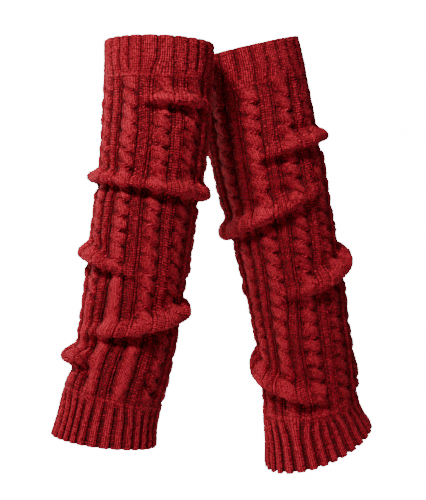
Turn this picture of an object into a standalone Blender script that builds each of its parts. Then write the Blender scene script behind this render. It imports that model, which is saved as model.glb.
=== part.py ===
"""A pair of long cable-knit leg warmers, filled out as if worn and pushed down into slouch folds.

Each leg warmer is a hollow tube, open at both ends: a ribbed upper cuff, a cable-knit leg and a
ribbed lower cuff.  The wall is plain inside; ribs, cables and folds are raised in its outer points.
Units are metres, +Z up, the front faces -Y.  The origin is midway between the two upper hems, where
the legs of a wearer hold the pair up.  Tables are in millimetres and degrees.
"""

import bmesh
import bpy
import numpy as np

MM = 0.001

# The knitting, as a maker would chart it
REPEATS = 10  # one repeat round the leg is a rope cable, a groove, a narrow rib and a groove
UPPER_RIBS = 24  # wide ribs, held stretched by the thigh
LOWER_RIBS = 30
UPPER_CUFF = 40  # height of the upper cuff
CROSSING = 18  # distance down the leg from one crossing of a cable to the next
INSIDE = 6.0  # depth of the plain inside under the crests of the cables: the wall at its thickest
SEAM_GAP = 0.3  # between two pieces, where a cuff's ribs change into the leg's cables
SLANTED_SEAM_GAP = 0.55  # the same where the cuff hangs askew, which brings the two rims closer
END_SHARE = 0.6  # how much of the relief is left where two pieces meet

# One repeat of the leg: its ridges and grooves, as a share of the repeat from the cable's middle,
# how far each lies under the crests, how much deeper it is between two lobes of the rope, and how
# far it follows their slant, from upper left to lower right
REPEAT_COLUMNS = ("place", "lift", "notch", "slant")
CABLE_REPEAT = (
    (-0.18, -0.8, 1.4, -1),
    (0.02, 0.0, 2.2, 0),
    (0.20, -0.5, 2.8, 1),
    (0.33, -3.6, 0, 0),
    (0.49, -1.4, 0, 0),
    (0.66, -3.6, 0, 0),
)
SLANT = 4.0  # how far a lobe's ends lie above and below its middle
RIB_DEPTH = 2.6
RIB_WANDER = 1.4  # degrees that the ribs stray from an even spacing, in each of two waves
WANDER_WAVES = ((5, 40), (3, 0))  # waves round the cuff, and where each starts in degrees
HEM_ROUND = 0.9  # the hem's corner is let in by this, over HEM_EDGE
HEM_EDGE = 2.5

# Cross sections of the worn tubes: an ellipse round the leg, square to the tube's axis
SECTION_COLUMNS = ("below", "across", "behind", "half_width", "half_depth", "dip", "turn")
LEFT_SECTIONS = (
    (0, -46, -39, 58.5, 53.0, 0, 9),
    (50, -47.5, -39, 58.5, 53.5, 0, 9),
    (100, -50.5, -39, 58.5, 54.0, 0, 9.5),
    (144, -55.5, -39, 57.5, 53.0, 0, 10.5),
    (186, -62, -39, 56.5, 52.0, 0, 12),
    (228, -68, -39, 55.5, 51.0, 0, 15),
    (270, -74, -39, 54.0, 50.0, 0, 17.5),
    (312, -80.5, -39, 53.5, 49.5, 0, 13),
    (340, -86.5, -39, 54.0, 49.5, 0, 10),
    (365, -93.5, -39, 53.0, 49.0, 0, 9.5),
    (388, -99, -39, 53.0, 49.0, 1, 9.5),
    (415.5, -104, -39, 56.5, 52.0, 3, 10),
)
RIGHT_SECTIONS = (
    (0, 45, 39, 62.5, 54.5, 0, -8),
    (45, 55.5, 44, 63.5, 55.0, 0, -8),
    (90, 64.5, 49, 64.0, 55.0, 0, -10.5),
    (128, 73, 53.5, 64.0, 55.0, 0, -13.5),
    (164, 81, 57.5, 63.0, 55.0, 0, -15.5),
    (191, 87, 61, 61.5, 54.0, 0, -17),
    (218, 93.5, 64, 60.0, 53.0, 0, -19.5),
    (264, 103.5, 69, 58.5, 52.0, 0, -24),
    (301, 109.5, 73, 56.5, 51.0, 0, -27),
    (338, 116, 77.5, 56.5, 51.0, 1, -28),
    (376, 121, 82, 56.0, 50.0, 3, -27),
    (396, 123, 84, 56.0, 50.0, 5, -26),
    (413, 124.5, 86, 57.5, 52.0, 7, -25),
    (432, 128, 88, 61.0, 55.5, 10.5, -24),
    (449.5, 132, 90, 66.5, 59.5, 13.5, -23),
)

# Slouch folds, a row for each line that folds lie on.  A line is a tilted ring: "tilt" lower where
# it is lowest.  Its rolls are (facing, spread, reach, arch): where the roll stands out most, over
# how many degrees to each side it dies away, how far it stands out, and how far its ends droop
FOLD_COLUMNS = ("below", "tilt", "lowest", "width", "hang", "rolls")
LEFT_FOLDS = (
    (56, 2, 0, 9, 4, ((26, 46, 5.5, 9), (176, 80, 6.5, 6))),
    (146, 2, 0, 10, 6, ((-90, 120, 9, 0), (90, 120, 8.8, 0))),
    (226, 11, 10, 10.5, 6, ((-75, 76, 9.2, 0), (150, 60, 7, 4))),
    (283.5, 13, -40, 12, 7, ((46, 96, 11.5, 0), (-165, 50, 5, 3))),
    (333, 18, 0, 13.5, 5, ((-92, 70, 10.5, 0), (165, 70, 7, 3))),
)
RIGHT_FOLDS = (
    (104.5, 14, -10, 10.5, 6, ((76, 80, 9.6, 0), (-150, 60, 7, 4))),
    (180, 9, -140, 12, 8, ((-56, 108, 12.3, 0), (160, 60, 6, 3))),
    (252.5, 17, -20, 13, 6, ((76, 92, 13, 0), (-140, 55, 6, 3))),
    (356, 28, 30, 16, 10, ((-60, 76, 10.2, 0), (150, 70, 8, 3))),
)
ROLL_ROWS = (-1, -0.75, -0.35, 0.1, 0.5, 0.8, 1)  # rows of points over a roll, in its half width
INNER_ROLL_ROWS = (-1, -0.3, 0.4, 1)
ROUNDNESS = 0.75  # of a roll's profile: less is blunter
TUCK = 2.0  # how far the wall is drawn in under a roll
TUCK_PLACE, TUCK_WIDTH = 1.2, 0.67  # where, and over how much to each side, in the roll's half width
INNER_SHARE = 0.45  # how much of a roll the plain inside follows

# "raised" is the upper hem's height; "dip_facing" is the side where the lower hem hangs lowest;
# "upper_rib" and "lower_rib" are where the first rib of a cuff lies, in degrees from the first cable
PAIR = (
    {
        "name": "left",
        "sections": LEFT_SECTIONS,
        "folds": LEFT_FOLDS,
        "lower_cuff": 45,
        "lower_seam": SEAM_GAP,
        "raised": -4,
        "dip_facing": -70,
        "upper_rib": 1,
        "lower_rib": 7.5,
    },
    {
        "name": "right",
        "sections": RIGHT_SECTIONS,
        "folds": RIGHT_FOLDS,
        "lower_cuff": 48,
        "lower_seam": SLANTED_SEAM_GAP,
        "raised": 4,
        "dip_facing": -44,
        "upper_rib": 3.5,
        "lower_rib": 11,
    },
)

RED_WOOL = {"colour": (0.33, 0.012, 0.022), "roughness": 0.92, "metallic": 0.0}

INNER_STEP = 3  # columns of the outside to each column of the plain inside


def column(rows, columns, name):
    """One named column of a table, as an array."""
    return np.array([row[columns.index(name)] for row in rows], dtype=float)


def smooth(rows, columns, name, below):
    """A table's column read at any distance below the hem, along a smooth curve through its rows."""
    knots = column(rows, columns, "below")
    values = column(rows, columns, name)
    slopes = np.gradient(values, knots)
    i = np.clip(np.searchsorted(knots, below, side="right") - 1, 0, len(knots) - 2)
    span = knots[i + 1] - knots[i]
    u = (below - knots[i]) / span
    start = (1 + 2 * u) * (1 - u) ** 2 * values[i] + u * (1 - u) ** 2 * span * slopes[i]
    end = u**2 * (3 - 2 * u) * values[i + 1] + u**2 * (u - 1) * span * slopes[i + 1]
    return start + end


def fold_line(fold, azimuth):
    """How far below the hem a fold's line lies at an azimuth."""
    row = dict(zip(FOLD_COLUMNS, fold))
    return row["below"] + row["tilt"] * np.cos(np.radians(azimuth - row["lowest"]))


def bump(x, roundness=1.0):
    """A rounded rise, 1 at the middle and 0 from -1 and 1 outwards."""
    return np.clip(1 - x**2, 0, None) ** roundness


def fold_offsets(warmer, below, azimuth):
    """How far the folds push the cloth outwards and downwards at a point."""
    out = np.zeros(np.broadcast(below, azimuth).shape)
    down = np.zeros_like(out)
    for fold in warmer["folds"]:
        row = dict(zip(FOLD_COLUMNS, fold))
        for facing, spread, reach, arch in row["rolls"]:
            turned = (azimuth - facing + 180) % 360 - 180
            strength = bump(turned / spread)
            line = fold_line(fold, azimuth) + arch * (1 - strength)
            across = (below - line) / row["width"]
            roll = bump(across, ROUNDNESS)
            out += strength * (reach * roll - TUCK * bump((across - TUCK_PLACE) / TUCK_WIDTH))
            down += strength * row["hang"] * roll
    return out, down


def place(warmer, below, azimuth, lift, share=1.0):
    """Points of the wall: lift is outwards from the crests, share is how much of the folds it follows."""
    out, down = fold_offsets(warmer, below, azimuth)
    at = below + share * down
    rows = warmer["sections"]

    def read(name, where=at):
        return smooth(rows, SECTION_COLUMNS, name, where)

    centre = np.stack([read("across"), read("behind"), warmer["raised"] - at], axis=-1)
    ahead = np.stack([read("across", at + 1), read("behind", at + 1), warmer["raised"] - at - 1], axis=-1)
    axis = (ahead - centre) / np.linalg.norm(ahead - centre, axis=-1, keepdims=True)
    side = np.array([1.0, 0.0, 0.0]) - axis[..., :1] * axis
    side /= np.linalg.norm(side, axis=-1, keepdims=True)
    front = np.cross(axis, side)
    half_width, half_depth = read("half_width"), read("half_depth")
    sine, cosine = np.sin(np.radians(azimuth)), np.cos(np.radians(azimuth))
    normal = np.stack([sine / half_width, cosine / half_depth], axis=-1)
    normal /= np.linalg.norm(normal, axis=-1, keepdims=True)
    rise = share * out + lift
    x = half_width * sine + normal[..., 0] * rise
    y = half_depth * cosine + normal[..., 1] * rise
    dip = read("dip") * np.cos(np.radians(azimuth - warmer["dip_facing"]))
    return MM * (centre + side * x[..., None] + front * y[..., None] + axis * dip[..., None])


def hem_length(warmer):
    """How far the lower hem lies below the upper one."""
    return column(warmer["sections"], SECTION_COLUMNS, "below")[-1]


def leg_ends(warmer):
    """Where the cable-knit leg starts and ends, below the upper hem."""
    return UPPER_CUFF, hem_length(warmer) - warmer["lower_cuff"]


def leg_rows(warmer, step, roll_rows):
    """Rows down the leg: roll_rows over each fold, and about "step" apart between, which "free" marks."""
    top, bottom = leg_ends(warmer)
    rows, free = [top], [False]

    def fill_to(end):
        count = max(1, round((end - rows[-1]) / step))
        between = np.linspace(rows[-1], end, count + 1)[1:-1]
        rows.extend(between)
        free.extend([True] * len(between))

    for fold in warmer["folds"]:
        row = dict(zip(FOLD_COLUMNS, fold))
        over = [row["below"] + row["width"] * share for share in roll_rows]
        fill_to(over[0])
        rows.extend(over)
        free.extend([False] * len(over))
    fill_to(bottom)
    return np.array(rows + [bottom]), np.array(free + [False])


def along_folds(warmer, rows, azimuth):
    """Rows bent so that they run along the fold lines, for every azimuth."""
    top, bottom = leg_ends(warmer)
    folds = warmer["folds"]
    even = [top, *column(folds, FOLD_COLUMNS, "below"), bottom]
    columns = []
    for at in azimuth:
        bent = [top, *(fold_line(fold, at) for fold in folds), bottom]
        columns.append(np.interp(rows, even, bent))
    return np.stack(columns, axis=1)


def turned(warmer, below, angles):
    """Azimuths of the pattern's columns, which wind slowly round the leg."""
    return angles + smooth(warmer["sections"], SECTION_COLUMNS, "turn", below)


def inner_angles(outer_columns):
    """Where the columns of a plain inside stand, for the outside's number of columns."""
    count = outer_columns // INNER_STEP
    return 360 / count * np.arange(count)


def leg_wall(warmer):
    """Outer and inner points of the cable-knit leg, a row of points for each ring."""

    def repeated(name):
        return np.tile(column(CABLE_REPEAT, REPEAT_COLUMNS, name), REPEATS)

    starts = np.repeat(np.arange(REPEATS), len(CABLE_REPEAT))
    angles = 360 / REPEATS * (starts + repeated("place"))
    rows, free = leg_rows(warmer, CROSSING / 2, ROLL_ROWS)
    below = along_folds(warmer, rows, turned(warmer, rows.mean(), angles))
    below += SLANT * repeated("slant") * free[:, None]
    notched = free * (np.arange(len(rows)) % 2)  # every other free row lies between two lobes
    lift = repeated("lift") - repeated("notch") * notched[:, None]
    lift[[0, -1]] *= END_SHARE
    outer = place(warmer, below, turned(warmer, below, angles), lift)

    angles = inner_angles(len(angles))
    rows, _ = leg_rows(warmer, CROSSING, INNER_ROLL_ROWS)
    below = along_folds(warmer, rows, turned(warmer, rows.mean(), angles))
    inner = place(warmer, below, turned(warmer, below, angles), -INSIDE, INNER_SHARE)
    return outer, inner


def cuff_wall(warmer, top, bottom, hem, steps, ribs, first_rib):
    """Outer and inner points of a ribbed cuff from top to bottom, whose open edge is at hem."""
    even = first_rib + 180 / ribs * np.arange(2 * ribs)
    angles = even + RIB_WANDER * sum(np.sin(np.radians(n * even + start)) for n, start in WANDER_WAVES)
    rows = np.linspace(top, bottom, steps + 1)
    edge = hem + HEM_EDGE if hem == top else hem - HEM_EDGE
    rows = np.sort(np.append(rows, edge))
    below = rows[:, None]
    lift = np.where(np.arange(2 * ribs) % 2, -RIB_DEPTH, 0.0) + np.zeros_like(below)
    lift[rows == hem] -= HEM_ROUND
    lift[rows == top + bottom - hem] *= END_SHARE
    outer = place(warmer, below, turned(warmer, below, angles), lift)

    angles = first_rib + inner_angles(2 * ribs)
    below = np.linspace(top, bottom, 3)[:, None]
    inner = place(warmer, below, turned(warmer, below, angles), -INSIDE, INNER_SHARE)
    return outer, inner


def tube_faces(start, rings, columns):
    """Triangles between the rings of a tube, each pair split along the lay of the cables."""
    faces = []
    for ring in range(rings - 1):
        for i in range(columns):
            here = start + ring * columns
            a, b = here + i, here + (i + 1) % columns
            faces += [(a, b, b + columns), (a, b + columns, a + columns)]
    return faces


def rim_faces(outer, inner):
    """Triangles of an open edge, from a ring of many points to a ring of few."""
    step = len(outer) // len(inner)
    faces = []
    for i, near in enumerate(inner):
        after = inner[(i + 1) % len(inner)]
        run = [outer[(i * step + j) % len(outer)] for j in range(step + 1)]
        middle = step // 2
        faces += [(run[j], run[j + 1], near) for j in range(middle)]
        faces += [(run[middle], after, near)]
        faces += [(run[j], run[j + 1], after) for j in range(middle, step)]
    return faces


def make_wall(name, outer, inner, material, collection):
    """One closed piece of cloth: the raised outside, the plain inside and the two rims."""
    out_rings, out_columns = outer.shape[:2]
    in_rings, in_columns = inner.shape[:2]
    first_inner = out_rings * out_columns
    points = np.concatenate([outer.reshape(-1, 3), inner.reshape(-1, 3)])
    out_ids = np.arange(first_inner).reshape(out_rings, out_columns)
    in_ids = first_inner + np.arange(in_rings * in_columns).reshape(in_rings, in_columns)
    faces = tube_faces(0, out_rings, out_columns)
    faces += tube_faces(first_inner, in_rings, in_columns)
    for ring in (0, -1):
        faces += rim_faces(out_ids[ring].tolist(), in_ids[ring].tolist())
    mesh = bpy.data.meshes.new(name)
    mesh.from_pydata(points.tolist(), [], faces)
    shell = bmesh.new()
    shell.from_mesh(mesh)
    bmesh.ops.recalc_face_normals(shell, faces=shell.faces)
    shell.to_mesh(mesh)
    shell.free()
    mesh.shade_smooth()
    mesh.materials.append(material)
    piece = bpy.data.objects.new(name, mesh)
    collection.objects.link(piece)
    return piece


def knit_material(name, colour, roughness, metallic):
    material = bpy.data.materials.new(name)
    material.use_nodes = True
    surface = material.node_tree.nodes["Principled BSDF"]
    surface.inputs["Base Color"].default_value = (*colour, 1)
    surface.inputs["Roughness"].default_value = roughness
    surface.inputs["Metallic"].default_value = metallic
    return material


def make_leg_warmer(warmer, holder, collection):
    """The three knitted pieces of one leg warmer, parented to the pair's empty."""
    name = warmer["name"]
    leg_top, leg_bottom = leg_ends(warmer)
    hem = hem_length(warmer)
    lower_top = leg_bottom + warmer["lower_seam"]
    walls = {
        "upper_cuff": cuff_wall(warmer, 0, leg_top - SEAM_GAP, 0, 2, UPPER_RIBS, warmer["upper_rib"]),
        "cable_leg": leg_wall(warmer),
        "lower_cuff": cuff_wall(warmer, lower_top, hem, hem, 3, LOWER_RIBS, warmer["lower_rib"]),
    }
    for part, (outer, inner) in walls.items():
        material = knit_material(f"{name}_{part}_knit", **RED_WOOL)
        make_wall(f"{name}_{part}", outer, inner, material, collection).parent = holder


def main():
    for thing in list(bpy.data.objects):
        bpy.data.objects.remove(thing, do_unlink=True)
    collection = bpy.data.collections.new("leg_warmers")
    bpy.context.scene.collection.children.link(collection)
    holder = bpy.data.objects.new("wearer_legs", None)
    collection.objects.link(holder)
    for warmer in PAIR:
        make_leg_warmer(warmer, holder, collection)


main()
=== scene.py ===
# A pair of cable-knit leg warmers, filled out as worn: every stitch, fold and finish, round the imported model
import math

import bpy
import numpy as np
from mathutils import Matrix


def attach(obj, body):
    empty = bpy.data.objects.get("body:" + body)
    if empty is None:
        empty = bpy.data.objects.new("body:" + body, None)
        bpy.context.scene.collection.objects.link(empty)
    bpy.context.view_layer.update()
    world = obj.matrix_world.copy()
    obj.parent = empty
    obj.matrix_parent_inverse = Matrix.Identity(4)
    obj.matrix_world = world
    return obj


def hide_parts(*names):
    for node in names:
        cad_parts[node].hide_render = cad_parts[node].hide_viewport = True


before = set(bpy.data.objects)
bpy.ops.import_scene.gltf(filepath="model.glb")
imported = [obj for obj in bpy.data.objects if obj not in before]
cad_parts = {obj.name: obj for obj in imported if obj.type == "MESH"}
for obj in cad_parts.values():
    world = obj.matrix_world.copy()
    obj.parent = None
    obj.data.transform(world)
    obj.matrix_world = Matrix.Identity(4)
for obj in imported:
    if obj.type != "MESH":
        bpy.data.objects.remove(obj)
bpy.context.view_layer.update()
mm = 0.001

# the camera stands where the photograph was taken from
camera = {"place": (0.0104, -1.239, -0.221), "turned": (90, 0, 0), "lens": 54.86, "sensorHeight": 24}

cameraData = bpy.data.cameras.new("photoCamera")
cameraData.sensor_fit = "VERTICAL"
cameraData.sensor_height = camera["sensorHeight"]
cameraData.lens = camera["lens"]
cameraObject = bpy.data.objects.new("photoCamera", cameraData)
cameraObject.location = camera["place"]
cameraObject.rotation_euler = [math.radians(angle) for angle in camera["turned"]]
bpy.context.scene.collection.objects.link(cameraObject)
bpy.context.scene.camera = cameraObject

# The worn shape, in millimetres and degrees: azimuth 0 is the front, 90 the viewer's right.
# "below" is always the distance below the upper hem.
sectionColumns = ("below", "across", "behind", "halfWidth", "halfDepth", "dip", "turn")
# a fold's rolls lie on one tilted ring, and each is (facing, spread, reach, how far its ends droop)
foldColumns = ("below", "tilt", "lowest", "width", "hang", "rolls")
creaseColumns = ("below", "facing", "spread", "width", "depth", "lean")  # a ridge has a depth above 0

leftWarmer = {
    "name": "left",
    "sections": (
        (0, -46, -39, 58.5, 53.0, 0, 9),
        (50, -47.5, -39, 58.5, 53.5, 0, 9),
        (100, -50.5, -39, 58.5, 54.0, 0, 9.5),
        (144, -55.5, -39, 57.5, 53.0, 0, 10.5),
        (186, -62, -39, 56.5, 52.0, 0, 12),
        (228, -68, -39, 55.5, 51.0, 0, 15),
        (270, -74, -39, 54.0, 50.0, 0, 17.5),
        (312, -80.5, -39, 53.5, 49.5, 0, 13),
        (340, -86.5, -39, 54.0, 49.5, 0, 10),
        (365, -93.5, -39, 53.0, 49.0, 0, 9.5),
        (388, -99, -39, 53.0, 49.0, 1, 9.5),
        (415.5, -104, -39, 56.5, 52.0, 3, 10),
    ),
    "folds": (
        (60, 2, 30, 7, 2.2, ((28, 44, 6.5, 6), (176, 80, 6.5, 6))),
        (147.5, 2, 20, 7.5, 2.8, ((-90, 120, 9, 0), (90, 120, 8.8, 0))),
        (227, 8, 20, 8, 2.8, ((-75, 78, 9.2, 8), (150, 60, 7, 4))),
        (286, 19, -60, 9.5, 3.6, ((46, 100, 11.5, 0), (-165, 50, 5, 3))),
        (333, 6, -110, 11, 2.8, ((-92, 66, 10.5, 0), (165, 70, 7, 3))),
    ),
    "creases": (
        (72, 20, 36, 5.5, -4.0, -0.17),
        (157, -4, 60, 5, -1.6, 0.0),
        (203, -16, 13, 7, -2.6, 0.25),
        (246, -27, 16, 7, -3.0, -0.5),
        (300, -45, 20, 8, -1.8, 0.2),
        (303, 10, 44, 6, -3.2, -0.3),
        (323, -53, 12, 7, -2.6, 0.3),
        (346, -46, 24, 6, -2.8, 0.6),
        (351, 43, 18, 7, -2.8, 0.2),
        (364, 46, 16, 6, 2.2, 0.1),
        (112, 60, 26, 9, -1.6, 0.25),
        (92, 172, 44, 7, -2.6, 0.06),
        (128, 214, 22, 8, -1.8, -0.3),
        (196, 156, 46, 7, -2.4, -0.08),
        (214, 232, 20, 7, -2.4, 0.35),
        (262, 118, 26, 7, -2.2, 0.3),
        (308, 196, 40, 7, -2.6, 0.07),
        (352, 160, 30, 7, -2.4, -0.15),
        (343, 232, 18, 7, -2.2, 0.4),
    ),
    # where a cable's strands run side by side and don't cross: facing, from, to
    "smoothRuns": ((-36, 249, 300), (-72, 268, 312), (-36, 320, 372), (0, 320, 372)),
    "raised": -4,  # height of the upper hem
    "dipFacing": -70,  # the side where the lower hem hangs lowest
    "legTop": 40,  # where the cables start and end
    "legBottom": 370.5,
    "courses": 140,  # rows of stitches from there to there
    "upperScallop": 0.15,  # courses by which a hem's ribs stand past its grooves
    "lowerScallop": 0.12,
    "upperRib": 1,  # where a cuff's first rib lies
    "lowerRib": 7.5,
    "seed": 3,
}

rightWarmer = {
    "name": "right",
    "sections": (
        (0, 45, 39, 62.5, 54.5, 0, -8),
        (45, 55.5, 44, 63.5, 55.0, 0, -8),
        (90, 64.5, 49, 64.0, 55.0, 0, -10.5),
        (128, 73, 53.5, 64.0, 55.0, 0, -13.5),
        (164, 81, 57.5, 63.0, 55.0, 0, -15.5),
        (191, 87, 61, 61.5, 54.0, 0, -17),
        (218, 93.5, 64, 60.0, 53.0, 0, -19.5),
        (264, 103.5, 69, 58.5, 52.0, 0, -24),
        (301, 109.5, 73, 56.5, 51.0, 0, -27),
        (338, 116, 77.5, 56.5, 51.0, 1, -28),
        (376, 121, 82, 56.0, 50.0, 3, -27),
        (396, 123, 84, 56.0, 50.0, 5, -26),
        (413, 124.5, 86, 57.5, 52.0, 7, -25),
        (432, 128, 88, 61.0, 55.5, 10.5, -24),
        (449.5, 132, 90, 66.5, 59.5, 13.5, -23),
    ),
    "folds": (
        (104.5, 3, 60, 8, 3.3, ((76, 92, 9.8, 14), (-150, 60, 7, 4))),
        (174.5, 13.5, -100, 9.5, 3.9, ((-56, 108, 12.3, 0), (160, 60, 6, 3))),
        (251, 18, -30, 10, 3.3, ((76, 96, 13, 0), (-140, 55, 6, 3))),
        (357.5, 26, 30, 11.5, 4.4, ((-60, 80, 11, 0), (150, 70, 8, 3))),
    ),
    "creases": (
        (122, 12, 28, 6, -3.4, -0.4),
        (134, -5, 12, 6.5, -2.2, 0.3),
        (155, 12, 15, 6.5, -2.4, -0.33),
        (164, -15, 12, 6.5, -2.2, 0.25),
        (185, -20, 40, 6, -2.8, -0.25),
        (178, 12, 14, 6.5, -2.4, -0.6),
        (240, 15, 14, 7, -2.2, 0.25),
        (271, 6, 30, 6.5, -3.8, -0.2),
        (281, -20, 14, 7, -2.0, -0.4),
        (336, -11, 15, 7, -2.4, 0.1),
        (342, 21, 12, 7, -2.2, 0.25),
        (380, -32, 32, 6.5, -3.6, 0.5),
        (384, 74, 20, 6.5, 2.4, 0.2),
        (394, 72, 20, 5, -2.4, 0.2),
        (402, 6, 13, 6.5, -2.4, -1.0),
        (92, 158, 40, 7, -2.4, 0.1),
        (128, 216, 24, 7, -2.2, -0.25),
        (206, 150, 44, 7, -2.6, -0.07),
        (226, 224, 20, 7, -2.2, 0.35),
        (276, 216, 42, 7, -2.6, 0.06),
        (300, 122, 22, 7, -2.2, 0.3),
        (330, 176, 34, 7, -2.4, -0.12),
        (384, 158, 40, 7, -2.6, 0.08),
    ),
    "smoothRuns": (),
    "raised": 4,
    "dipFacing": -44,
    "legTop": 40,
    "legBottom": 401.5,
    "courses": 148,
    "upperScallop": 0.15,
    "lowerScallop": 0.6,
    "upperRib": 3.5,
    "lowerRib": 11,
    "seed": 8,
}

shape = {
    "tuck": 3.0,  # how far the wall is drawn in under a roll
    "tuckPlace": 1.3,  # where, in half widths of the roll below its line
    "tuckWidth": 0.7,
    "shoulder": 1.2,  # how far it is drawn in over a roll
    "shoulderPlace": -1.35,
    "thinEnd": 0.7,  # a roll is this much of its width at its ends, and thickMiddle more in its middle
    "thickMiddle": 0.48,
    "roundness": 0.5,  # of a roll's profile: less is blunter
    "reachAlong": 0.7,  # the smaller, the further a roll keeps its height towards its ends
    "creaseProfile": 1.5,  # more is sharper
    "ridgeDroop": 0.5,  # how far a ridge hangs, for each millimetre that it stands out
    "deepest": -4.5,  # where two hollows meet, thick cloth goes little deeper than this
    "deepestHold": 0.7,  # the share that is taken back of what would lie deeper
    "inside": 5.8,  # depth of the inside under the crests of the cables
    "cuffThinner": 0.4,
    "innerShare": 0.25,  # how much of a roll the plain inside follows
    "innerHollow": 1.6,  # and how much of a hollow, so that the cloth keeps its thickness there
    "unevenness": 0.5,
    "swells": ((2, 1.7, 19, 1), (5, -2.3, 31, 0)),  # waves round, lean in degrees a mm, length, start
    "soften": 1.3,  # thick cloth rounds every corner by about this
    "softenings": 3,  # averages, which together make a soft bell
    "tableTurn": 1.5,  # the cloth is worked out at points this many degrees apart round the leg
    "tableStep": 0.6,  # and this far apart down it
    "tableRows": 1201,
    "normalTurn": 1.5,  # how far to each side the cloth is felt for its direction: degrees, share
    "normalStep": 0.0025,
    "mergeWithin": 0.000002,  # metres, where the shell closes on itself
    "smoothAngle": 75,  # an edge that bends less is shaded smooth
}


def tableColumn(rows, columns, name):
    return np.array([row[columns.index(name)] for row in rows], dtype=float)


def readSection(warmer, name, below):  # smooth curve through the rows of the table
    knots = tableColumn(warmer["sections"], sectionColumns, "below")
    values = tableColumn(warmer["sections"], sectionColumns, name)
    slopes = np.gradient(values, knots)
    i = np.clip(np.searchsorted(knots, below, side="right") - 1, 0, len(knots) - 2)
    span = knots[i + 1] - knots[i]
    u = (below - knots[i]) / span
    start = (1 + 2 * u) * (1 - u) ** 2 * values[i] + u * (1 - u) ** 2 * span * slopes[i]
    return start + u**2 * (3 - 2 * u) * values[i + 1] + u**2 * (u - 1) * span * slopes[i + 1]


def bump(x, roundness=1.0):  # 1 in the middle, 0 from -1 and 1 outwards
    return np.clip(1 - x**2, 0, None) ** roundness


def smoothStep(x):
    x = np.clip(x, 0, 1)
    return x * x * (3 - 2 * x)


def turnedFrom(azimuth, facing):
    return (azimuth - facing + 180) % 360 - 180


def foldOffsets(warmer, below, azimuth):  # how far folds and creases push the cloth out and down
    out = np.zeros(np.broadcast(below, azimuth).shape)
    down = np.zeros_like(out)
    rolled = np.zeros_like(out)  # 1 on the crest of a roll
    for fold in warmer["folds"]:
        row = dict(zip(foldColumns, fold))
        ring = row["below"] + row["tilt"] * np.cos(np.radians(azimuth - row["lowest"]))
        for facing, spread, reach, droop in row["rolls"]:
            strength = bump(turnedFrom(azimuth, facing) / spread, shape["reachAlong"])
            width = row["width"] * (shape["thinEnd"] + shape["thickMiddle"] * strength)
            across = (below - ring - droop * (1 - strength)) / width
            roll = bump(across, shape["roundness"])
            tuck = shape["tuck"] * bump((across - shape["tuckPlace"]) / shape["tuckWidth"])
            over = shape["shoulder"] * bump((across - shape["shoulderPlace"]) / shape["tuckWidth"])
            out += strength * (reach * roll - tuck - over)
            down += strength * row["hang"] * roll
            rolled = np.maximum(rolled, strength * roll)
    for crease in warmer["creases"]:
        row = dict(zip(creaseColumns, crease))
        away = turnedFrom(azimuth, row["facing"])
        line = row["below"] + row["lean"] * away
        profile = bump((below - line) / row["width"]) ** shape["creaseProfile"]
        raised = row["depth"] * bump(away / row["spread"]) * profile
        out += raised
        down += shape["ridgeDroop"] * np.clip(raised, 0, None)
    out += shape["deepestHold"] * np.clip(shape["deepest"] - out, 0, None)
    return out, down, rolled


def placeWall(warmer, below, azimuth, lift, share):  # share is how much of the rolls a face follows
    out, down, rolled = foldOffsets(warmer, below, azimuth)
    at = below + share * down
    centre, ahead = (
        np.stack(
            [
                readSection(warmer, "across", at + step),
                readSection(warmer, "behind", at + step),
                warmer["raised"] - at - step,
            ],
            axis=-1,
        )
        for step in (0, 1)
    )
    axis = (ahead - centre) / np.linalg.norm(ahead - centre, axis=-1, keepdims=True)
    side = np.array([1.0, 0.0, 0.0]) - axis[..., :1] * axis
    side /= np.linalg.norm(side, axis=-1, keepdims=True)
    front = np.cross(axis, side)
    halfWidth = readSection(warmer, "halfWidth", at)
    halfDepth = readSection(warmer, "halfDepth", at)
    sine, cosine = np.sin(np.radians(azimuth)), np.cos(np.radians(azimuth))
    normal = np.stack([sine / halfWidth, cosine / halfDepth], axis=-1)
    normal /= np.linalg.norm(normal, axis=-1, keepdims=True)
    swell = shape["unevenness"] * sum(
        np.sin(np.radians(waves * azimuth + lean * below)) * np.sin(below / length + start)
        for waves, lean, length, start in shape["swells"]
    )
    hollow = out if share == 1 else shape["innerHollow"] * out
    rise = np.where(out < 0, hollow, share * out) + share * swell + lift
    x = halfWidth * sine + normal[..., 0] * rise
    y = halfDepth * cosine + normal[..., 1] * rise
    dip = readSection(warmer, "dip", at) * np.cos(np.radians(azimuth - warmer["dipFacing"]))
    return centre + side * x[..., None] + front * y[..., None] + axis * dip[..., None], rolled


def clothTable(warmer, top, bottom, lift, share):  # the cloth, in equal steps along itself at every azimuth
    azimuth = np.arange(0, 360, shape["tableTurn"])
    below = np.linspace(top, bottom, int((bottom - top) / shape["tableStep"]) + 2)
    points, rolled = placeWall(warmer, below[None, :], azimuth[:, None], lift, share)
    reach = max(1, round(shape["soften"] / shape["tableStep"]))
    rows = len(below)
    fromEnd = np.minimum(np.arange(rows), np.arange(rows)[::-1]) / (2.0 * reach)
    for _ in range(shape["softenings"]):  # the two ends are held
        padded = np.pad(points, ((0, 0), (reach, reach), (0, 0)), mode="edge")
        soft = sum(padded[:, i : i + rows] for i in range(2 * reach + 1)) / (2 * reach + 1)
        points += (soft - points) * smoothStep(fromEnd)[None, :, None]
    step = np.linalg.norm(np.diff(points, axis=1), axis=-1)
    along = np.concatenate([np.zeros((len(azimuth), 1)), np.cumsum(step, 1)], 1)
    even = np.linspace(0, 1, shape["tableRows"])
    table = np.empty((len(azimuth), len(even), 5))  # x, y, z, how far below and how much rolled
    for i, length in enumerate(along[:, -1]):
        for k, values in enumerate((*points[i].T, below, rolled[i])):
            table[i, :, k] = np.interp(even, along[i] / length, values)
    return table, along[:, -1]


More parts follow.
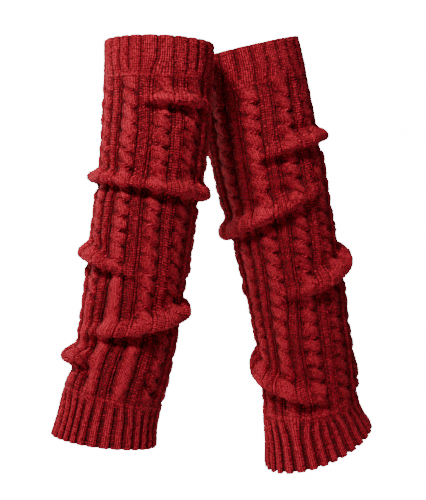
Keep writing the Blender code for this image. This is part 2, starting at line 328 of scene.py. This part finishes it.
def readTable(table, azimuth, share):  # anywhere on the cloth, between the table's points
    a = (azimuth % 360) / 360 * table.shape[0]
    s = np.clip(share, 0, 1) * (table.shape[1] - 1)
    i, j = np.floor(a).astype(int), np.minimum(np.floor(s).astype(int), table.shape[1] - 2)
    fa, fs = (a - i)[..., None], (s - j)[..., None]
    i, after = i % table.shape[0], (i + 1) % table.shape[0]
    near = table[i, j] * (1 - fs) + table[i, j + 1] * fs
    far = table[after, j] * (1 - fs) + table[after, j + 1] * fs
    return near * (1 - fa) + far * fa


def outward(table, azimuth, share):  # the cloth's own direction outwards, on the softened shape
    turn, step = shape["normalTurn"], shape["normalStep"]
    across = readTable(table, azimuth + turn, share) - readTable(table, azimuth - turn, share)
    down = readTable(table, azimuth, share + step) - readTable(table, azimuth, share - step)
    normal = np.cross(across[..., :3], down[..., :3])
    normal /= np.linalg.norm(normal, axis=-1, keepdims=True)
    return -normal


# the knitting chart: kind, stitches across, degrees that they take, and mesh columns in each stitch
stitchKinds = {"knit": 0, "groove": 1, "cable": 2, "dots": 3}  # the odd ones are purled
chart = {
    "legRepeats": 10,
    "leg": (("cable", 6, 19.3, 2), ("groove", 1, 4.6, 2), ("knit", 2, 7.3, 4), ("dots", 1, 4.8, 2)),
    "legStart": -9.65,
    "upperRibs": 24,
    "upper": (("knit", 3, 12.3, 4), ("groove", 1, 2.7, 2)),
    "lowerRibs": 30,
    "lower": (("knit", 2, 8.3, 4), ("groove", 1, 3.7, 2)),
    "crossing": 6,  # courses between two crossings of a cable
    "mostCrossings": 80,
    "rowsInLeg": 2,  # mesh rows in one course
    "rowsInCuff": 3,
    "upperCourses": 16,
    "lowerCourses": 18,
    "noiseGrid": (2000, 200),  # courses and wales, more than a piece has
}

relief = {
    # cuffs
    "upperGroove": 2.3,
    "lowerGroove": 3.4,
    "upperStitch": 0.7,  # a cuff is stretched, which flattens its stitches
    "lowerStitch": 0.55,
    "upperRound": 1.2,  # how far the sides of a cuff's rib fall off
    "lowerRound": 2.0,
    "ribCrest": -0.06,  # where across a cuff's rib its highest line runs
    "ribProfile": 2.6,  # more is flatter on top
    "wander": 1.4,  # degrees that a cuff's ribs stray from an even spacing
    "wanderWaves": ((5, 40), (3, 0)),  # waves round the cuff, and where each starts
    "hemRib": 0.35,  # ribs stand out by this share of the hem's scallop, and grooves in by all of it
    "scallopCourses": 3.5,  # how far up from the hem the scallop reaches
    "hemCourses": 1.4,  # and over how many the stitches' own shift dies away at it
    "hemRound": 0.6,  # the hem's corner is let in by this, over roundCourses
    "roundCourses": 1.2,
    "hemClear": 0.004,  # share of the cuff next to its edges where its direction isn't felt
    # ribs and grooves of the leg
    "groove": 3.3,  # the dark channel on the right of every cable, under its crest
    "dots": 3.0,  # the dotted purl stitches on its left
    "legRib": 1.2,
    "ribRound": 0.8,
    "sideProfile": 2.5,
    "ropeEdge": 0.3,  # a cable's own place under its crests where it meets a cuff
    "ropeRound": 1.2,
    "legWander": 0.55,
    "legWaves": ((11.3, 3, 0), (6.8, -5, 1)),  # courses, waves round the leg, share of the seed
    # cables
    "crest": 0.12,  # where across the cable its highest line runs
    "leftSlope": 2.4,
    "leftProfile": 1.9,
    "rightDrop": 2.4,
    "rightProfile": 2.3,
    "lobeStrength": (0.6, 1.15),  # lobes differ, within this range
    "lag": 0.14,  # share of a crossing by which a cable may run ahead or behind
    "notch": 4.2,  # between two lobes of the rope
    "notchMiddle": 0.5,  # the share of it on the crest, and notchRight more at the right edge
    "notchRight": 0.7,
    "pocket": 2.4,  # how pointed a notch is: pockets open towards the right of the rope
    "pocketRight": 0.7,
    "plump": 1.2,  # how far a stretch with no crossing rounds up
    "plumpRound": 2.2,
    "lobeDrop": 2.0,  # courses that the right shoulder of a lobe hangs below its middle
    "dropSlope": 0.8,
    "dropCurve": 0.3,
    "lobeSway": 3.0,  # degrees that the strands lean over in a lobe
    "scallop": 2.0,  # degrees that a lobe bulges over the grooves beside it
    "scallopFrom": 0.6,
    # stitches
    "zig": 0.85,  # courses between the point of a V and its arms
    "betweenWales": 1.1,
    "insideV": 0.6,
    "betweenCourses": 0.8,
    "cableZig": 0.35,
    "cableWales": 0.8,  # the same on a cable
    "cableCourses": 0.5,
    "purlBump": 1.6,
    "purlSide": (-0.25, 0.12),  # share of the bump, and shift in courses, at a purl stitch's side
    "purlMiddle": (0.5, -0.06),
    "purlGap": 0.55,
    "jitter": 0.42,  # stitches are uneven by this
    "cableJitter": 1.4,
    "purlJitter": 0.5,
    "stray": 0.12,  # and stand this many courses off their place
    "cableStray": 1.3,
    "straySeed": 50,  # added to a warmer's seed, for draws of their own
    "cuffSeed": 7,
    # seams, where the ribs change into the cables
    "seamLow": 0.3,  # how far the last row lies under the crests of the stitches beside it
    "seamShare": 0.7,  # how much of the leg's relief is left where two pieces meet
    "seamCourses": 4,  # over which the relief grows to its full height
    "seamStart": 0.5,  # courses over which the stitches start
    "settleCourses": 5,  # and then the cables start to lean and stray
    "joinWithin": 5.5,  # degrees: a cuff's groove this near to one of the leg's runs into it
    "joinCourses": 8,
    # painted shade and light in the colour of the yarn
    "legReach": (7, 5),  # columns and rows to each side that a crest or a groove is set against, for its painted shade or light
    "cuffReach": (6, 3),
    "paintedShadeRange": 7,  # height from the darkest painted shade in a groove to the palest painted light on a crest
    # how much of a stitch's own relief goes into the painted shade and light
    "stitchInShading": 0.8,
    # painted shade: the inside of the tube is coloured a little darker than a plain
    "insideShade": 0.45,
    # painted light: the crests of the rolls are coloured paler
    "paintedLightOnRolls": 0.16,
    "flatOnRolls": 0.85,  # how far a roll pulls the cables flat
    "cuffCrossed": 0.8,  # how faint a cuff's course lines are, where a cable's are 1
    "courseClear": 0.4,  # courses at each end that the yarn's pattern leaves out
}


def chartColumns(pieces, start, repeats):  # one entry for each mesh column of the tube
    kinds, inStitch, across, angles, wales = [], [], [], [], []
    wale = 0
    for repeat in range(repeats):
        angle = start + 360 / repeats * repeat
        for kind, stitches, degrees, columns in pieces:
            count = stitches * columns
            for k in range(count):
                kinds.append(stitchKinds[kind])
                inStitch.append(k % columns / columns)
                across.append(2 * k / count - 1)
                angles.append(angle + degrees * k / count)
                wales.append(wale + k / columns)
            angle += degrees
            wale += stitches
    return tuple(np.array(v, dtype=float)[None, :] for v in (kinds, inStitch, across, angles, wales))


legColumns = chartColumns(chart["leg"], chart["legStart"], chart["legRepeats"])


def stitchNoise(seed, wales, courses):  # one value a stitch, the same on every run
    values = np.random.RandomState(seed).uniform(-1, 1, chart["noiseGrid"])
    down, across = values.shape
    return values[np.floor(courses).astype(int) % down, np.floor(wales).astype(int) % across]


def plainStitches(kinds, inStitch, courses, wales, seed):
    # height, and shift along the wale in courses, of knit and purl stitches
    purl = kinds % 2 == 1
    onCable = kinds == stitchKinds["cable"]
    gap = (np.cos(2 * np.pi * courses) + 1) / 2  # 1 between two courses, 0 on the crest of one
    betweenWales = np.where(onCable, relief["cableWales"], relief["betweenWales"])
    betweenCourses = np.where(onCable, relief["cableCourses"], relief["betweenCourses"])
    insideV = np.where(onCable, 0, relief["insideV"])
    knitHeight = -betweenWales * (inStitch == 0) - insideV * (inStitch == 0.5) - betweenCourses * gap
    knitShift = np.where(onCable, relief["cableZig"], relief["zig"]) * (0.5 - 2 * np.abs(inStitch - 0.5))
    bar, purlShift = (
        np.where(inStitch == 0, side, middle)
        for side, middle in zip(relief["purlSide"], relief["purlMiddle"])
    )
    purlHeight = relief["purlBump"] * (bar - relief["purlGap"] * gap)
    noise = relief["jitter"] * stitchNoise(seed, wales, courses)
    noise = noise * np.select([onCable, purl], [relief["cableJitter"], relief["purlJitter"]], 1)
    stray = relief["stray"] * stitchNoise(seed + relief["straySeed"], wales, courses)
    stray = stray * np.where(onCable, relief["cableStray"], 1)
    return np.where(purl, purlHeight, knitHeight) + noise, np.where(purl, purlShift, knitShift) + stray


def cuffLift(kinds, across, part):  # wide ribs with narrow deep grooves
    rib = -relief[f"{part}Round"] * np.abs(across - relief["ribCrest"]) ** relief["ribProfile"]
    return np.where(kinds == stitchKinds["groove"], -relief[f"{part}Groove"], rib)


def plainLegLift(kinds, across):  # the leg's ribs and grooves, and its cables before they cross
    side = np.abs(across) ** relief["sideProfile"]
    heights = {
        "knit": -relief["legRib"] - relief["ribRound"] * side,
        "groove": -relief["groove"],
        "dots": -relief["dots"],
    }
    rope = -relief["ropeEdge"] - relief["ropeRound"] * side
    return np.select([kinds == stitchKinds[kind] for kind in heights], list(heights.values()), rope)


def seamLift(azimuth):  # both pieces have this relief where they meet
    kinds, _, across, angles, _ = legColumns
    profile = relief["seamShare"] * plainLegLift(kinds, across)
    return np.interp(azimuth, angles[0], profile[0], period=360)


def cuffColumns(warmer, part):
    pieces = chart[part]
    start = warmer[f"{part}Rib"] - pieces[0][2] / 2
    kinds, inStitch, across, angles, wales = chartColumns(pieces, start, chart[f"{part}Ribs"])
    stray = sum(np.sin(np.radians(waves * angles + place)) for waves, place in relief["wanderWaves"])
    return kinds, inStitch, across, angles + relief["wander"] * stray, wales


def intoLeg(columns):  # how far each column of a cuff turns at the seam, so that grooves run on into the leg's
    kinds, _, across, angles, _ = columns
    legKinds, _, legAcross, legAngles, _ = legColumns
    targets = legAngles[(legKinds % 2 == 1) & (legAcross == 0)]
    grooves = angles[(kinds == stitchKinds["groove"]) & (across == 0)]
    away = turnedFrom(targets[None, :], grooves[:, None])
    nearest = away[np.arange(len(grooves)), np.abs(away).argmin(1)]
    joined = np.abs(nearest) < relief["joinWithin"]
    return np.interp(angles, grooves[joined], nearest[joined], period=360)


def legLift(warmer, kinds, across, angles, courses):
    # the ropes, ribs and grooves of the leg: height, shift in courses, shift in degrees
    cable = kinds == stitchKinds["cable"]
    repeats, crossings = chart["legRepeats"], chart["mostCrossings"]
    width = 360 / repeats
    repeat = (np.round(angles / width) % repeats).astype(int)
    random = np.random.RandomState(warmer["seed"])
    strength = random.uniform(*relief["lobeStrength"], (repeats, crossings))
    lag = random.uniform(-relief["lag"], relief["lag"], repeats)
    perMm = warmer["courses"] / (warmer["legBottom"] - warmer["legTop"])
    for facing, *run in warmer["smoothRuns"]:
        k = round(facing / width) % repeats
        first, last = ((below - warmer["legTop"]) * perMm / chart["crossing"] + lag[k] for below in run)
        strength[k, math.ceil(first) : math.floor(last) + 1] = 0
    beat = courses / chart["crossing"] + lag[repeat]
    crossing = np.round(beat).astype(int)
    away = beat - crossing  # -0.5 above a crossing, 0 on it, 0.5 below
    keep = strength[repeat, crossing % crossings]
    pocket = relief["pocket"] - relief["pocketRight"] * np.clip(across, 0, 1)
    valley = keep * (1 - (1 - (1 - 2 * np.abs(away)) ** pocket) ** 0.5)
    fromCrest = across - relief["crest"]
    left = np.clip(-fromCrest / (1 + relief["crest"]), 0, 1)
    right = np.clip(fromCrest / (1 - relief["crest"]), 0, 1)
    plump = relief["plump"] * (1 - np.minimum(keep, 1)) * (1 - relief["plumpRound"] * across**2)
    height = plump - relief["leftSlope"] * left ** relief["leftProfile"]
    height = height - relief["rightDrop"] * right ** relief["rightProfile"]
    height = height - relief["notch"] * valley * (relief["notchMiddle"] + relief["notchRight"] * right)
    curve = relief["dropSlope"] * across + relief["dropCurve"] * np.clip(across, 0, 1) ** 2
    drop = np.where(cable, relief["lobeDrop"] * curve, 0)
    through = beat - np.floor(beat)
    sway = relief["lobeSway"] * (2 * through - 1) * (1 - across**2) * np.minimum(keep, 1)
    bulge = relief["scallop"] * (relief["scallopFrom"] - valley) * across**3
    return np.where(cable, height, plainLegLift(kinds, across)), drop, np.where(cable, sway + bulge, 0)


def paintedCavityShade(height, columns, rows):  # painted shade and light: 0, darkest, in a groove, 0.5 on a plain, 1, palest, on a crest
    near = sum(np.roll(height, i, 1) for i in range(-columns, columns + 1)) / (2 * columns + 1)
    padded = np.pad(near, ((rows, rows), (0, 0)), mode="edge")
    near = sum(padded[i : i + len(near)] for i in range(2 * rows + 1)) / (2 * rows + 1)
    return np.clip(0.5 + (height - near) / relief["paintedShadeRange"], 0, 1)


def gridRows(count, perCourse):
    return np.arange(count * perCourse + 1)[:, None] / perCourse


print("shape tables ready")


def knitTube(name, outer, inner, outerUv, innerUv, wales, marks):
    # one closed shell: outer rows from top to bottom, inner rows back up again, closed both ways
    def closed(outside, inside):
        rows = np.concatenate([outside, inside, outside[:1]], axis=0)
        return np.concatenate([rows, rows[:, :1]], axis=1)

    points = closed(outer, inner) * mm
    uv = closed(outerUv, innerUv)
    uv[:, -1, 0] = wales
    rows, columns = points.shape[:2]
    bpy.ops.object.select_all(action="DESELECT")
    bpy.ops.mesh.primitive_grid_add(x_subdivisions=columns - 1, y_subdivisions=rows - 1, size=2)
    tube = bpy.context.object
    tube.name = tube.data.name = name
    mesh = tube.data
    flat = np.empty(len(mesh.vertices) * 3, dtype=np.float32)
    mesh.vertices.foreach_get("co", flat)
    flat = flat.reshape(-1, 3)
    column = np.rint((flat[:, 0] + 1) / 2 * (columns - 1)).astype(int)
    row = np.rint((flat[:, 1] + 1) / 2 * (rows - 1)).astype(int)
    mesh.vertices.foreach_set("co", points[row, column].astype(np.float32).ravel())
    corner = np.empty(len(mesh.loops), dtype=np.int32)
    mesh.loops.foreach_get("vertex_index", corner)
    layer = mesh.uv_layers[0]
    layer.name = "stitches"
    layer.data.foreach_set("uv", uv[row[corner], column[corner]].astype(np.float32).ravel())
    for label, (outside, inside) in marks.items():
        values = closed(outside, np.full(inner.shape[:2], inside))
        attribute = mesh.attributes.new(label, "FLOAT", "POINT")
        attribute.data.foreach_set("value", values[row, column].astype(np.float32))
    bpy.ops.object.mode_set(mode="EDIT")
    bpy.ops.mesh.select_all(action="SELECT")
    bpy.ops.mesh.remove_doubles(threshold=shape["mergeWithin"])
    bpy.ops.mesh.normals_make_consistent(inside=False)
    bpy.ops.object.mode_set(mode="OBJECT")
    bpy.ops.object.shade_smooth_by_angle(angle=math.radians(shape["smoothAngle"]))
    return tube


def finishPiece(warmer, name, outer, columns, courses, ends, depth, rows, paintedShading, crossed, start):
    # adds the plain inside, "depth" under the crests, in rows from the bottom back up to the top
    kinds, _, _, angles, wales = columns
    total = courses[-1, 0]
    table, _ = clothTable(warmer, *ends, -depth, shape["innerShare"])
    back = np.linspace(1, 0, rows)[:, None] + 0 * angles
    azimuth = angles + 0 * back
    azimuth = azimuth + readSection(warmer, "turn", readTable(table, azimuth, back)[..., 3])
    inner = readTable(table, azimuth, back)[..., :3]
    clear = relief["courseClear"]
    outerUv = np.stack([wales + 0 * courses, np.clip(courses, clear, total - clear) + 0 * wales], -1)
    innerUv = np.stack([wales + 0 * back, back * total], -1)
    marks = {  # on the outside and on the inside; the depth mark carries the painted shade and light of the colour
        "depth": (paintedShading, relief["insideShade"]),
        "purl": (kinds % 2 * start, 1.0),
        "crossed": (crossed * start, 0.0),
    }
    return knitTube(name, outer, inner, outerUv, innerUv, math.ceil(wales[0, -1]), marks)


def makeLeg(warmer):
    kinds, inStitch, across, angles, wales = legColumns
    total = warmer["courses"]
    courses = gridRows(total, chart["rowsInLeg"])
    ends = warmer["legTop"], warmer["legBottom"]
    table, lengths = clothTable(warmer, *ends, 0, 1)
    stitch, shift = plainStitches(kinds, inStitch, courses, wales, warmer["seed"])
    lift, drop, sway = legLift(warmer, kinds, across, angles + 0 * courses, courses + 0 * angles)
    fromEnd = np.minimum(courses, total - courses)
    seam = seamLift(angles)
    lift = seam + (lift - seam) * smoothStep(fromEnd / relief["seamCourses"])
    start = smoothStep(fromEnd / relief["seamStart"])
    settled = smoothStep((fromEnd - relief["seamStart"]) / relief["settleCourses"])
    shift = (shift + drop * settled) * start
    stray = sum(
        np.sin(courses / length + phase * warmer["seed"] + np.radians(waves * angles))
        for length, waves, phase in relief["legWaves"]
    )
    azimuth = angles + (sway + relief["legWander"] * stray) * settled
    share = np.clip((courses + shift) / total, 0, 1)
    azimuth = azimuth + readSection(warmer, "turn", readTable(table, azimuth, share)[..., 3])
    base = readTable(table, azimuth, share)
    rolled = base[..., 4]
    lift = lift * (1 - relief["flatOnRolls"] * rolled)
    rise = lift + stitch * start - relief["seamLow"] * (1 - start)
    outer = base[..., :3] + outward(table, azimuth, share) * rise[..., None]
    # painted shade in the grooves and painted light on the crests, worked out from the relief
    paintedShading = paintedCavityShade(lift + relief["stitchInShading"] * stitch * start, *relief["legReach"])
    # painted light on the crests of the rolls
    paintedShading = paintedShading + relief["paintedLightOnRolls"] * rolled
    name = f"{warmer['name']}CableLeg"
    crossed = kinds == stitchKinds["cable"]
    tube = finishPiece(
        warmer, name, outer, legColumns, courses, ends, shape["inside"], total * 2 // 3, paintedShading, crossed, start
    )
    print(f"{name}: {len(tube.data.polygons)} faces, cloth {lengths.min():.0f} to {lengths.max():.0f} mm long")
    return tube


def makeCuff(warmer, part, top, bottom):
    hemAtTop = part == "upper"
    columns = cuffColumns(warmer, part)
    kinds, inStitch, across, angles, wales = columns
    count = chart[f"{part}Courses"]
    courses = gridRows(count, chart["rowsInCuff"])
    table, lengths = clothTable(warmer, top, bottom, 0, 1)
    seed = warmer["seed"] + relief["cuffSeed"]
    stitch, shift = plainStitches(kinds, inStitch, courses, wales, seed)
    stitch = stitch * relief[f"{part}Stitch"]
    fromSeam = count - courses if hemAtTop else courses
    fromHem = courses if hemAtTop else count - courses
    placed = angles + intoLeg(columns) * (1 - smoothStep(fromSeam / relief["joinCourses"]))
    seam = seamLift(placed)
    lift = seam + (cuffLift(kinds, across, part) - seam) * smoothStep(fromSeam / relief["seamCourses"])
    start = smoothStep(fromSeam / relief["seamStart"])
    past = np.where(kinds == stitchKinds["groove"], -1, relief["hemRib"]) * (-1 if hemAtTop else 1)
    past = warmer[f"{part}Scallop"] * past * (1 - smoothStep(fromHem / relief["scallopCourses"]))
    shift = shift * start * smoothStep(fromHem / relief["hemCourses"]) + past
    share = (courses + shift) / count
    over = np.where(share < 0, share, np.where(share > 1, share - 1, 0)) * lengths.mean()
    azimuth = placed + readSection(warmer, "turn", readTable(table, placed, share)[..., 3])
    base = readTable(table, azimuth, share)
    normal = outward(table, azimuth, np.clip(share, relief["hemClear"], 1 - relief["hemClear"]))
    edge = relief["hemRound"] * (1 - smoothStep(fromHem / relief["roundCourses"]))
    rise = lift + stitch * start - relief["seamLow"] * (1 - start) - edge
    outer = base[..., :3] + normal * rise[..., None]
    outer[..., 2] -= over
    # painted shade in the grooves and painted light on the crests, worked out from the relief
    paintedShading = paintedCavityShade(lift + relief["stitchInShading"] * stitch * start, *relief["cuffReach"])
    name = f"{warmer['name']}{part.capitalize()}Cuff"
    crossed = relief["cuffCrossed"] * (1 - kinds % 2)
    depth = shape["inside"] - shape["cuffThinner"]
    tube = finishPiece(
        warmer, name, outer, columns, courses, (top, bottom), depth, count * 2, paintedShading, crossed, start
    )
    print(f"{name}: {len(tube.data.polygons)} faces, cloth {lengths.min():.0f} to {lengths.max():.0f} mm long")
    return tube


def linear(hexColour):
    channels = [int(hexColour[i : i + 2], 16) / 255 for i in (1, 3, 5)]
    return tuple(c / 12.92 if c <= 0.04045 else ((c + 0.055) / 1.055) ** 2.4 for c in channels) + (1.0,)


def addNode(tree, kind, settings=None, links=None):
    node = tree.nodes.new(kind)
    for key, value in (settings or {}).items():
        if isinstance(key, str) and hasattr(node, key):
            setattr(node, key, value)
        else:
            node.inputs[key].default_value = value
    for key, source in (links or {}).items():
        tree.links.new(source, node.inputs[key])
    return node


woolYarn = {
    "shadedTones": ((0.12, "#3C030A"), (0.34, "#6C0814"), (0.56, "#A20E20"), (0.85, "#E02C42")),  # one red yarn from painted shade in a groove up to painted light on a crest
    "meanTone": 0.79,
    # painted shade in the gaps between two yarns
    "gap": "#50050F",
    "gapShadeStrength": 0.75,  # how dark the painted shade in the gaps between the yarns is
    "gapEdge": 2.0,
    "yarnCrestHighlight": 0.55,  # painted highlight: how much lighter the crest of a yarn is painted than its sides
    "stitchMiddle": 0.4,
    "knitEdge": 2.5,  # how sharply a yarn falls off to its sides: more is sharper
    "purlEdge": 4.0,
    "courseEdge": 3.0,
    "crossedFade": 0.45,  # how much of the lines between courses is lost on a cable
    "plyTwists": 3.0,  # plies twist round each other about three times a stitch
    "plyLean": 1.5,
    "roughness": 0.72,
    "specular": 0.15,
    "sheen": 0.05,
    "sheenRoughness": 0.35,
    "sheenTint": "#F08A90",
    "fleckSize": 1.1,  # mm, the flecks of a heathered yarn
    "fleckTone": 1.4,
    "patchSize": 25 / 3,  # mm, slow changes of the dye
    "patchTone": 0.15,
    "fuzzSize": 0.35,  # mm, loose fibres
    "bumpHeight": 0.0008,  # metres, the round of one arm of a stitch
    "bumpStrength": 0.9,
    "fuzzBump": 0.35,
    "plyBump": 0.2,
}


def makeYarn():
    # worsted wool-and-acrylic yarn, knitted: matt, heathered, with a soft halo of fibres at grazing angles;
    # its colour also has painted shade in grooves and gaps and painted light on crests
    material = bpy.data.materials.new("heatheredKnittedWool")
    material.use_nodes = True
    tree = material.node_tree
    surface = tree.nodes["Principled BSDF"]
    surface.inputs["Roughness"].default_value = woolYarn["roughness"]
    surface.inputs["Specular IOR Level"].default_value = woolYarn["specular"]
    surface.inputs["Sheen Weight"].default_value = woolYarn["sheen"]
    surface.inputs["Sheen Roughness"].default_value = woolYarn["sheenRoughness"]
    surface.inputs["Sheen Tint"].default_value = linear(woolYarn["sheenTint"])

    stitches = addNode(tree, "ShaderNodeUVMap", {"uv_map": "stitches"})
    axes = addNode(tree, "ShaderNodeSeparateXYZ", {}, {"Vector": stitches.outputs["UV"]})
    place = addNode(tree, "ShaderNodeTexCoord").outputs["Object"]
    sockets = {"wale": axes.outputs["X"], "course": axes.outputs["Y"]}
    # the depth mark is the painted shade and light that the mesh carries
    for name in ("purl", "crossed", "depth"):
        sockets[name] = addNode(tree, "ShaderNodeAttribute", {"attribute_name": name}).outputs["Fac"]
    for name, detail in (("fleck", 2.0), ("patch", 3.0), ("fuzz", 3.0)):
        scale = 500 / woolYarn[f"{name}Size"]  # a noise's lumps are about half as wide as its cells
        settings = {"Scale": scale, "Detail": detail}
        sockets[name] = addNode(tree, "ShaderNodeTexNoise", settings, {"Vector": place}).outputs["Fac"]

    # each row is one Math node: its name, what it does, and the sockets and numbers that go in
    sides = []  # 0 in the middle of a yarn, 1 at its sides
    for name, source in (("arm", "arms"), ("bar", "wale"), ("row", "course"), ("ply", "plies")):
        sides += (
            (f"{name}Place", "FRACT", source),
            (f"{name}Middle", "MULTIPLY_ADD", f"{name}Place", 2.0, -1.0),
            (f"{name}Side", "ABSOLUTE", f"{name}Middle"),
        )
    steps = (
        ("arms", "MULTIPLY", "wale", 2.0),  # a knit stitch is a V of two round arms, a purl stitch one bar
        ("plyStart", "MULTIPLY", "wale", woolYarn["plyLean"]),
        ("plies", "MULTIPLY_ADD", "course", woolYarn["plyTwists"], "plyStart"),
        *sides,
        ("knitSide", "POWER", "armSide", woolYarn["knitEdge"]),
        ("purlSide", "POWER", "barSide", woolYarn["purlEdge"]),
        ("courseSide", "POWER", "rowSide", woolYarn["courseEdge"]),
        ("knit", "SUBTRACT", 1.0, "purl"),
        ("besideKnit", "MULTIPLY", "knitSide", "knit"),
        ("besidePurl", "MULTIPLY", "purlSide", "purl"),
        ("beside", "ADD", "besideKnit", "besidePurl"),
        ("courseLine", "MULTIPLY_ADD", "crossed", -woolYarn["crossedFade"], 1.0),
        ("above", "MULTIPLY", "courseSide", "courseLine"),
        ("between", "MAXIMUM", "beside", "above"),
        ("flecks", "MULTIPLY", "fleck", woolYarn["fleckTone"]),
        ("patches", "MULTIPLY", "patch", woolYarn["patchTone"]),
        ("dye", "ADD", "flecks", "patches"),
        ("uneven", "SUBTRACT", "dye", woolYarn["meanTone"]),
        # the painted shade and light from the mesh plus the dye's flecks and patches, then a painted highlight
        # on each yarn's crest and painted shade at its sides
        ("light", "ADD", "depth", "uneven"),
        ("onYarn", "SUBTRACT", woolYarn["stitchMiddle"], "between"),
        ("paintedShading", "MULTIPLY_ADD", "onYarn", woolYarn["yarnCrestHighlight"], "light"),
        # painted shade in the gaps between the yarns
        ("gap", "POWER", "between", woolYarn["gapEdge"]),
        ("dark", "MULTIPLY", "gap", woolYarn["gapShadeStrength"]),
        ("fibres", "MULTIPLY", "fuzz", woolYarn["fuzzBump"]),
        ("round", "SUBTRACT", "fibres", "between"),
        ("plyGroove", "MULTIPLY", "plySide", woolYarn["plyBump"]),
        ("height", "SUBTRACT", "round", "plyGroove"),
    )
    for name, operation, *parts in steps:
        numbers = {i: part for i, part in enumerate(parts) if not isinstance(part, str)}
        links = {i: sockets[part] for i, part in enumerate(parts) if isinstance(part, str)}
        node = addNode(tree, "ShaderNodeMath", {"operation": operation, **numbers}, links)
        sockets[name] = node.outputs[0]

    # the red yarn in lit and shaded copies: painted shade and painted light
    shadedTones = addNode(tree, "ShaderNodeValToRGB", {}, {"Fac": sockets["paintedShading"]})
    ramp = shadedTones.color_ramp
    lowest, *middle, highest = woolYarn["shadedTones"]
    for stop, (position, colour) in zip(ramp.elements, (lowest, highest)):
        stop.position, stop.color = position, linear(colour)
    for position, colour in middle:
        ramp.elements.new(position).color = linear(colour)
    # the gaps between the yarns are mixed toward the painted shade colour
    colour = addNode(
        tree,
        "ShaderNodeMix",
        {"data_type": "RGBA", 7: linear(woolYarn["gap"])},
        {0: sockets["dark"], 6: shadedTones.outputs["Color"]},
    )
    tree.links.new(colour.outputs[2], surface.inputs["Base Color"])
    settings = {"Strength": woolYarn["bumpStrength"], "Distance": woolYarn["bumpHeight"]}
    raised = addNode(tree, "ShaderNodeBump", settings, {"Height": sockets["height"]})
    tree.links.new(raised.outputs["Normal"], surface.inputs["Normal"])
    return material


yarn = makeYarn()
print("yarn ready")

nodeOf = {"UpperCuff": "upper_cuff", "CableLeg": "cable_leg", "LowerCuff": "lower_cuff"}

for warmer in (leftWarmer, rightWarmer):
    tubes = {
        "UpperCuff": makeCuff(warmer, "upper", 0, warmer["legTop"]),
        "CableLeg": makeLeg(warmer),
        "LowerCuff": makeCuff(warmer, "lower", warmer["legBottom"], warmer["sections"][-1][0]),
    }
    for part, tube in tubes.items():
        tube.data.materials.clear()
        tube.data.materials.append(yarn)
        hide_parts(f"{warmer['name']}_{nodeOf[part]}")
        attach(tube, "root")

print("leg warmers knitted")

# a plain pale floor in a white room, with a window, a fill panel and a strip of light on the rims
studio = {
    "floorHeight": -0.56,
    "floorSize": 12,
    "floorColour": "#F4F4F4",
    "floorRoughness": 0.9,
    "white": "#FFFFFF",
    "roomLight": 0.05,
    "seenWhite": 16.0,  # floor and room are burnt out to one white in the picture
}
lamps = (
    {"name": "keyWindow", "place": (-0.38, -0.78, 0.62), "aim": (0.0, 0, -0.05), "size": 0.22, "power": 15.6},
    {"name": "fillPanel", "place": (0.8, -0.5, 0.5), "aim": (0.05, 0, 0.0), "size": 0.4, "power": 1},
    {"name": "rimStrip", "place": (-0.8, 0.35, 0.05), "aim": (0.05, 0.05, -0.2), "size": 0.4, "power": 5},
)

bpy.ops.object.select_all(action="DESELECT")
bpy.ops.mesh.primitive_plane_add(size=studio["floorSize"], location=(0, 0, studio["floorHeight"]))
floor = bpy.context.object
floor.name = "studioFloor"
paint = bpy.data.materials.new("mattWhitePaint")  # no gloss, so nothing is mirrored in the floor
paint.use_nodes = True
paintTree = paint.node_tree
paintSurface = paintTree.nodes["Principled BSDF"]
paintSurface.inputs["Base Color"].default_value = linear(studio["floorColour"])
paintSurface.inputs["Roughness"].default_value = studio["floorRoughness"]
floor.data.materials.append(paint)

room = bpy.data.worlds.new("whiteRoom")
room.use_nodes = True
bpy.context.scene.world = room
roomTree = room.node_tree
roomSky = roomTree.nodes["Background"]
roomSky.inputs["Color"].default_value = linear(studio["white"])
roomSky.inputs["Strength"].default_value = studio["roomLight"]
shine = {"Color": linear(studio["white"]), "Strength": studio["seenWhite"]}
# what is seen is bright, but what lights the wool is soft
for tree, soft, kind, output in (
    (roomTree, roomSky, "ShaderNodeBackground", "World Output"),
    (paintTree, paintSurface, "ShaderNodeEmission", "Material Output"),
):
    bright = addNode(tree, kind, shine)
    seen = addNode(tree, "ShaderNodeLightPath").outputs["Is Camera Ray"]
    choose = addNode(tree, "ShaderNodeMixShader", {}, {0: seen, 1: soft.outputs[0], 2: bright.outputs[0]})
    tree.links.new(choose.outputs[0], tree.nodes[output].inputs["Surface"])

for lamp in lamps:
    data = bpy.data.lights.new(lamp["name"], "AREA")
    data.size = lamp["size"]
    data.energy = lamp["power"]
    light = bpy.data.objects.new(lamp["name"], data)
    light.location = lamp["place"]
    away = np.array(lamp["aim"]) - np.array(lamp["place"])
    down = math.acos(-away[2] / np.linalg.norm(away))
    light.rotation_euler = (down, 0, math.atan2(away[1], away[0]) - math.pi / 2)
    bpy.context.scene.collection.objects.link(light)

print("studio ready")
